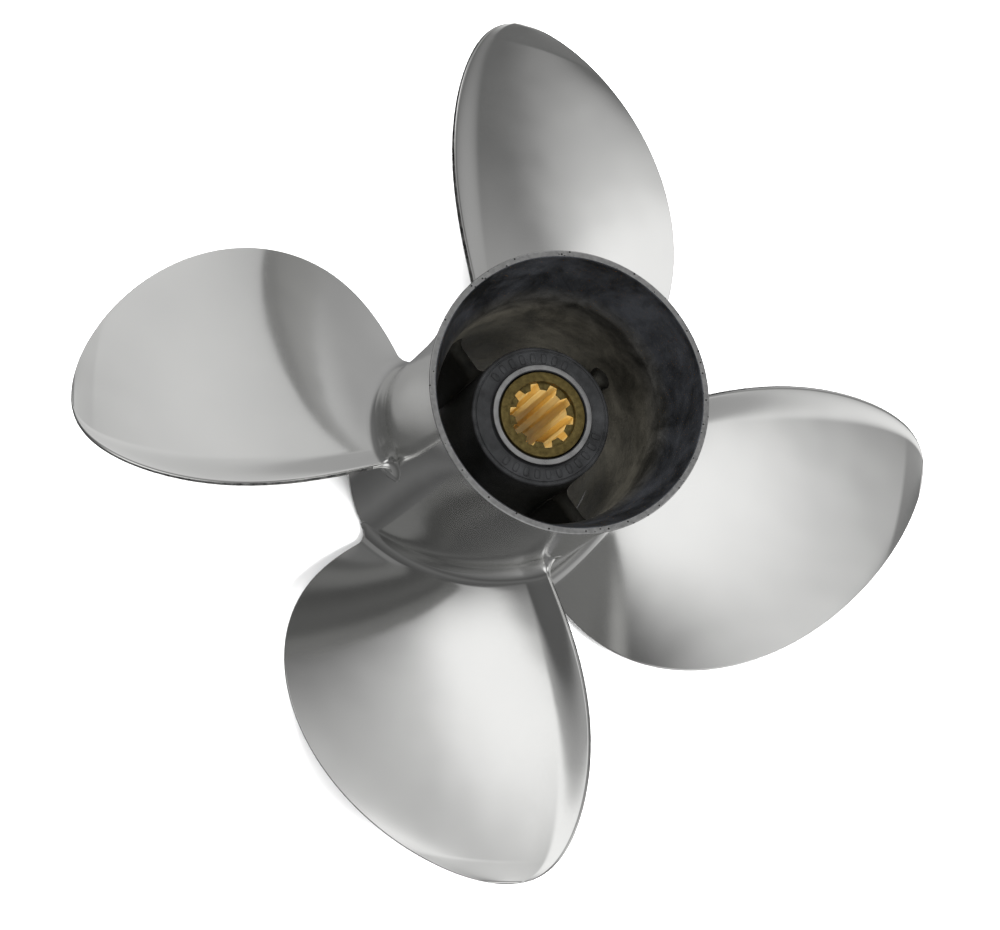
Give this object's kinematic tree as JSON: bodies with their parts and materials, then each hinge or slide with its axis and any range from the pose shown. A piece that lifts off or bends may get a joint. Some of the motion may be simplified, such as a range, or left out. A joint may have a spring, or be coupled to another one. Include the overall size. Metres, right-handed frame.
{
  "type": "outboard boat propeller",
  "caption": "Right-hand outboard propeller with wide raked blades, a hollow exhaust hub, a rubber bush and a splined brass sleeve.",
  "frame": {"origin": "centre of the barrel's front rim, on the shaft axis, where the part stands on a flat surface", "axes": "+Z along the shaft axis towards the rear of the boat; +X through the middle of blade_1; seen from +Z the blades are numbered anticlockwise"},
  "size_m": [0.2536, 0.2536, 0.102],
  "materials": {
    "polished_stainless": "mirror-polished stainless steel",
    "cast_stainless": "rough dark as-cast stainless steel",
    "bush_rubber": "matt moulded rubber",
    "sleeve_brass": "machined brass with dulled ends"
  },
  "bodies": {
    "casting": {"outer_barrel": "polished_stainless", "blade_1": "polished_stainless", "blade_2": "polished_stainless", "blade_3": "polished_stainless", "blade_4": "polished_stainless", "inner_hub": "cast_stainless", "rib_1": "cast_stainless", "rib_2": "cast_stainless", "rib_3": "cast_stainless", "rib_4": "cast_stainless"},
    "splined_hub": {"rubber_bush": "bush_rubber", "spline_sleeve": "sleeve_brass"}
  },
  "joints": [
    {"name": "bush_twist", "type": "hinge", "parent": "casting", "child": "splined_hub", "pos_m": [0, 0, 0.042], "axis": [0, 0, 1], "range_deg": [-10, 10], "stiffness_Nm_per_rad": 2}
  ]
}
